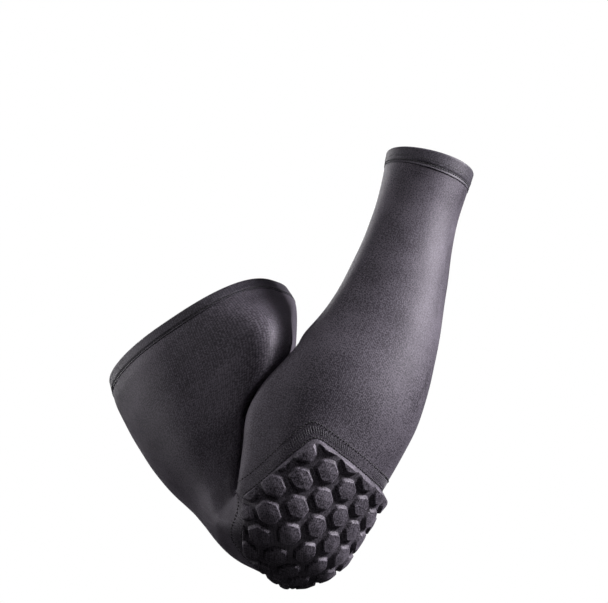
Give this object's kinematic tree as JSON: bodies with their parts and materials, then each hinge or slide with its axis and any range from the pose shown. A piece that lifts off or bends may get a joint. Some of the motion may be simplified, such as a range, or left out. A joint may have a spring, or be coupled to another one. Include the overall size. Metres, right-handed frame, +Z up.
{
  "type": "padded arm sleeve",
  "caption": "Bent compression arm sleeve with folded hems at both ends and a raised elbow pad of hexagonal foam cells.",
  "frame": {"origin": "middle of the upper arm opening, where the arm goes in", "axes": "+X to the wearer's hand side as the picture shows it, +Y away from the elbow pad's side, +Z up with the elbow at the bottom and the wrist opening at the top"},
  "size_m": [0.2251, 0.1938, 0.2668],
  "materials": {
    "knit": "charcoal stretch knit with a soft satin sheen",
    "hem": "charcoal knit, folded double and stitched",
    "pad_cloth": "charcoal knit bonded over thin foam",
    "pad_cell": "charcoal knit bonded over closed foam cells"
  },
  "bodies": {
    "root": {"sleeve_upper": "knit", "sleeve_biceps": "knit", "sleeve_above_elbow": "knit", "sleeve_elbow": "knit", "sleeve_forearm": "knit", "sleeve_wrist": "knit", "upper_hem": "hem", "wrist_hem": "hem", "pad_base": "pad_cloth", "hex_cell_01": "pad_cell", "hex_cell_02": "pad_cell", "hex_cell_03": "pad_cell", "hex_cell_04": "pad_cell", "hex_cell_05": "pad_cell", "hex_cell_06": "pad_cell", "hex_cell_07": "pad_cell", "hex_cell_08": "pad_cell", "hex_cell_09": "pad_cell", "hex_cell_10": "pad_cell", "hex_cell_11": "pad_cell", "hex_cell_12": "pad_cell", "hex_cell_13": "pad_cell", "hex_cell_14": "pad_cell", "hex_cell_15": "pad_cell", "hex_cell_16": "pad_cell", "hex_cell_17": "pad_cell", "hex_cell_18": "pad_cell", "hex_cell_19": "pad_cell", "hex_cell_20": "pad_cell", "hex_cell_21": "pad_cell", "hex_cell_22": "pad_cell", "hex_cell_23": "pad_cell", "hex_cell_24": "pad_cell", "hex_cell_25": "pad_cell", "hex_cell_26": "pad_cell", "hex_cell_27": "pad_cell", "hex_cell_28": "pad_cell", "hex_cell_29": "pad_cell", "hex_cell_30": "pad_cell", "hex_cell_31": "pad_cell", "hex_cell_32": "pad_cell", "hex_cell_33": "pad_cell", "hex_cell_34": "pad_cell", "hex_cell_35": "pad_cell", "hex_cell_36": "pad_cell", "hex_cell_37": "pad_cell", "hex_cell_38": "pad_cell", "hex_cell_39": "pad_cell", "hex_cell_40": "pad_cell", "hex_cell_41": "pad_cell"}
  },
  "joints": []
}
